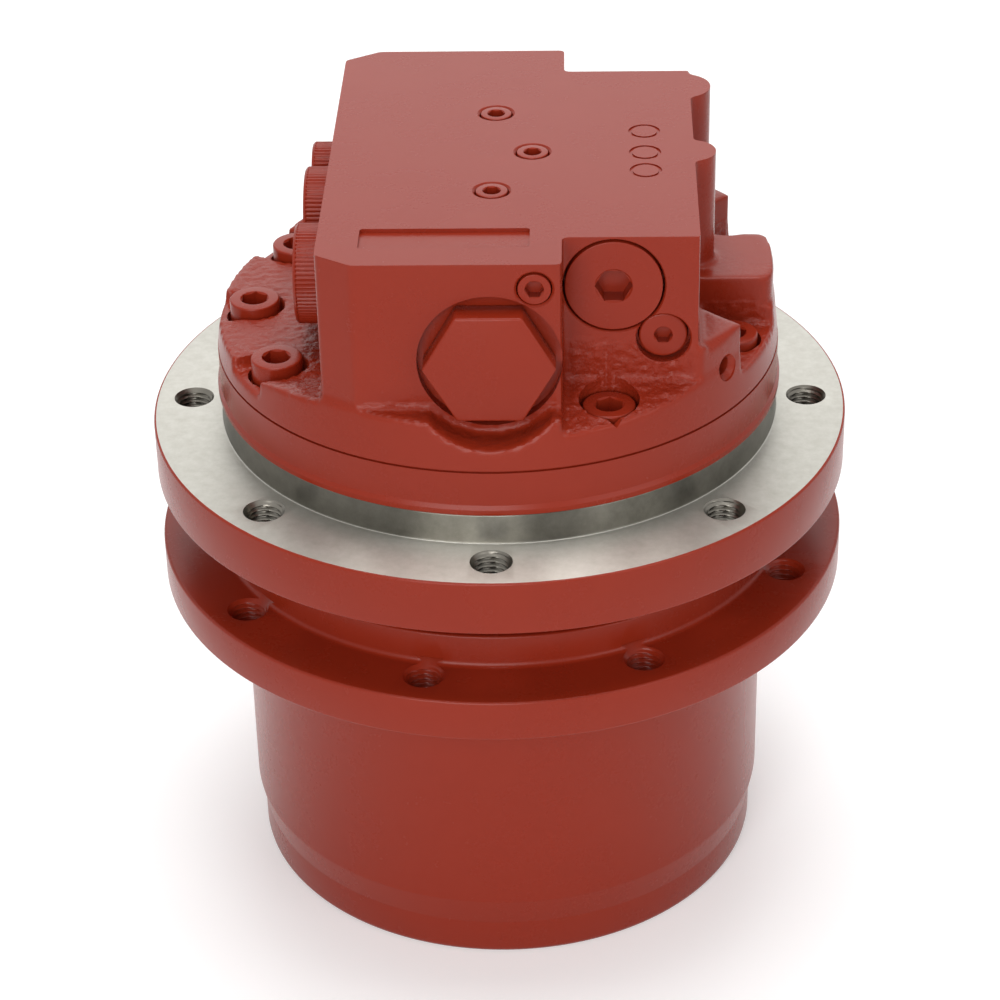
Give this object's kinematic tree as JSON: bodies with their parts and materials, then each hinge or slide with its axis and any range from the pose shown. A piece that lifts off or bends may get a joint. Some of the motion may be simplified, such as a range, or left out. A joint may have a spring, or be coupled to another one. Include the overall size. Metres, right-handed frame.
{
  "type": "excavator final drive",
  "caption": "Travel final drive: a sprocket hub that turns on a flanged spindle, driven through planetary gears by an axial piston motor under a valve casing.",
  "frame": {"origin": "centre of the hub's nose rim, on the drive's axis, where the drive stands", "axes": "+Z along the axis from the hub's nose up to the valve casing, -Y the side of the large hexagon plug seen in the picture, -X the side of the capped ports"},
  "size_m": [0.225, 0.225, 0.252],
  "materials": {
    "red_paint": "oxide red primer, satin, over castings and turned faces",
    "ground_steel": "ground and hardened steel",
    "bare_steel": "turned steel, slightly dull",
    "bronze": "bearing bronze",
    "rubber": "black nitrile rubber",
    "friction_lining": "sintered friction lining, dark"
  },
  "bodies": {
    "frame_side": {"spindle": "red_paint", "valve_casing": "red_paint", "casing_bolt_1": "red_paint", "casing_bolt_2": "red_paint", "casing_bolt_3": "red_paint", "casing_bolt_4": "red_paint", "casing_bolt_5": "red_paint", "casing_bolt_6": "red_paint", "casing_bolt_7": "red_paint", "spool_plug_front": "red_paint", "spool_plug_back": "red_paint", "relief_valve_front": "red_paint", "relief_valve_back": "red_paint", "gauge_plug": "red_paint", "orifice_plug": "red_paint", "gallery_plug_1": "red_paint", "gallery_plug_2": "red_paint", "gallery_plug_3": "red_paint", "port_cap_front": "red_paint", "port_cap_back": "red_paint", "drain_cap": "red_paint", "swash_plate": "ground_steel", "valve_plate": "bronze", "brake_spring": "bare_steel", "shaft_seal": "rubber", "bearing_lower_cone": "ground_steel", "bearing_upper_cone": "ground_steel", "bearing_nut": "bare_steel", "seal_ring_fixed": "ground_steel", "seal_toric_fixed": "rubber", "planet_pin_1": "ground_steel", "planet_pin_2": "ground_steel", "planet_pin_3": "ground_steel", "shaft_bearing_lower": "ground_steel", "shaft_bearing_upper": "ground_steel"},
    "hub": {"hub": "red_paint", "end_cover": "red_paint", "cover_retaining_ring": "bare_steel", "filler_plug": "bare_steel", "drain_plug": "bare_steel", "bearing_lower_cup": "ground_steel", "bearing_upper_cup": "ground_steel", "seal_ring_rotating": "ground_steel", "seal_toric_rotating": "rubber"},
    "lower_rollers": {"bearing_lower_rollers": "ground_steel"},
    "upper_rollers": {"bearing_upper_rollers": "ground_steel"},
    "carrier": {"planet_carrier": "bare_steel", "sun_gear_2": "ground_steel"},
    "planet_1_1": {"planet_stage_1_1": "ground_steel"},
    "planet_1_2": {"planet_stage_1_2": "ground_steel"},
    "planet_1_3": {"planet_stage_1_3": "ground_steel"},
    "planet_2_1": {"planet_stage_2_1": "ground_steel"},
    "planet_2_2": {"planet_stage_2_2": "ground_steel"},
    "planet_2_3": {"planet_stage_2_3": "ground_steel"},
    "shaft": {"drive_shaft": "ground_steel", "cylinder_block": "bare_steel", "brake_friction_plate": "friction_lining"},
    "slippers": {"slipper_retainer": "bronze"},
    "spool": {"counterbalance_spool": "ground_steel"},
    "brake": {"brake_piston": "bare_steel"}
  },
  "joints": [
    {"name": "hub_spin", "type": "hinge", "parent": "frame_side", "child": "hub", "pos_m": [0, 0, 0.1], "axis": [0, 0, 1], "continuous": true},
    {"name": "lower_rollers_spin", "type": "hinge", "parent": "frame_side", "child": "lower_rollers", "pos_m": [0, 0, 0.0928], "axis": [0, 0, 1], "continuous": true},
    {"name": "upper_rollers_spin", "type": "hinge", "parent": "frame_side", "child": "upper_rollers", "pos_m": [0, 0, 0.1101], "axis": [0, 0, 1], "continuous": true},
    {"name": "carrier_spin", "type": "hinge", "parent": "frame_side", "child": "carrier", "pos_m": [0, 0, 0.037], "axis": [0, 0, 1], "continuous": true},
    {"name": "shaft_spin", "type": "hinge", "parent": "frame_side", "child": "shaft", "pos_m": [0, 0, 0.1], "axis": [0, 0, 1], "continuous": true},
    {"name": "planet_1_1_spin", "type": "hinge", "parent": "carrier", "child": "planet_1_1", "pos_m": [0.03572, 0.02063, 0.024], "axis": [0, 0, 1], "continuous": true},
    {"name": "planet_1_2_spin", "type": "hinge", "parent": "carrier", "child": "planet_1_2", "pos_m": [-0.03572, 0.02063, 0.024], "axis": [0, 0, 1], "continuous": true},
    {"name": "planet_1_3_spin", "type": "hinge", "parent": "carrier", "child": "planet_1_3", "pos_m": [0, -0.04125, 0.024], "axis": [0, 0, 1], "continuous": true},
    {"name": "planet_2_1_spin", "type": "hinge", "parent": "frame_side", "child": "planet_2_1", "pos_m": [0, 0.04537, 0.052], "axis": [0, 0, 1], "continuous": true},
    {"name": "planet_2_2_spin", "type": "hinge", "parent": "frame_side", "child": "planet_2_2", "pos_m": [-0.0393, -0.02269, 0.052], "axis": [0, 0, 1], "continuous": true},
    {"name": "planet_2_3_spin", "type": "hinge", "parent": "frame_side", "child": "planet_2_3", "pos_m": [0.0393, -0.02269, 0.052], "axis": [0, 0, 1], "continuous": true},
    {"name": "slippers_spin", "type": "hinge", "parent": "frame_side", "child": "slippers", "pos_m": [0, 0, 0.0968], "axis": [0, -0.2419, 0.9703], "continuous": true},
    {"name": "spool_slide", "type": "slide", "parent": "frame_side", "child": "spool", "axis": [0, 1, 0], "range_m": [-0.006, 0.006], "stiffness_N_per_m": 5000},
    {"name": "brake_release", "type": "slide", "parent": "frame_side", "child": "brake", "axis": [0, 0, 1], "range_m": [0, 0.0012], "stiffness_N_per_m": 6000, "springref_m": -0.002, "deforming": ["brake_spring"]}
  ],
  "couplings": [
    {"joint": "lower_rollers_spin", "follows": "hub_spin", "ratio": 0.53134},
    {"joint": "upper_rollers_spin", "follows": "hub_spin", "ratio": 0.53134},
    {"joint": "carrier_spin", "follows": "hub_spin", "ratio": -3.125},
    {"joint": "shaft_spin", "follows": "hub_spin", "ratio": -23.75},
    {"joint": "planet_1_1_spin", "follows": "hub_spin", "ratio": 10.312},
    {"joint": "planet_1_2_spin", "follows": "hub_spin", "ratio": 10.312},
    {"joint": "planet_1_3_spin", "follows": "hub_spin", "ratio": 10.312},
    {"joint": "planet_2_1_spin", "follows": "hub_spin", "ratio": 2.9412},
    {"joint": "planet_2_2_spin", "follows": "hub_spin", "ratio": 2.9412},
    {"joint": "planet_2_3_spin", "follows": "hub_spin", "ratio": 2.9412},
    {"joint": "slippers_spin", "follows": "hub_spin", "ratio": -23.75}
  ]
}
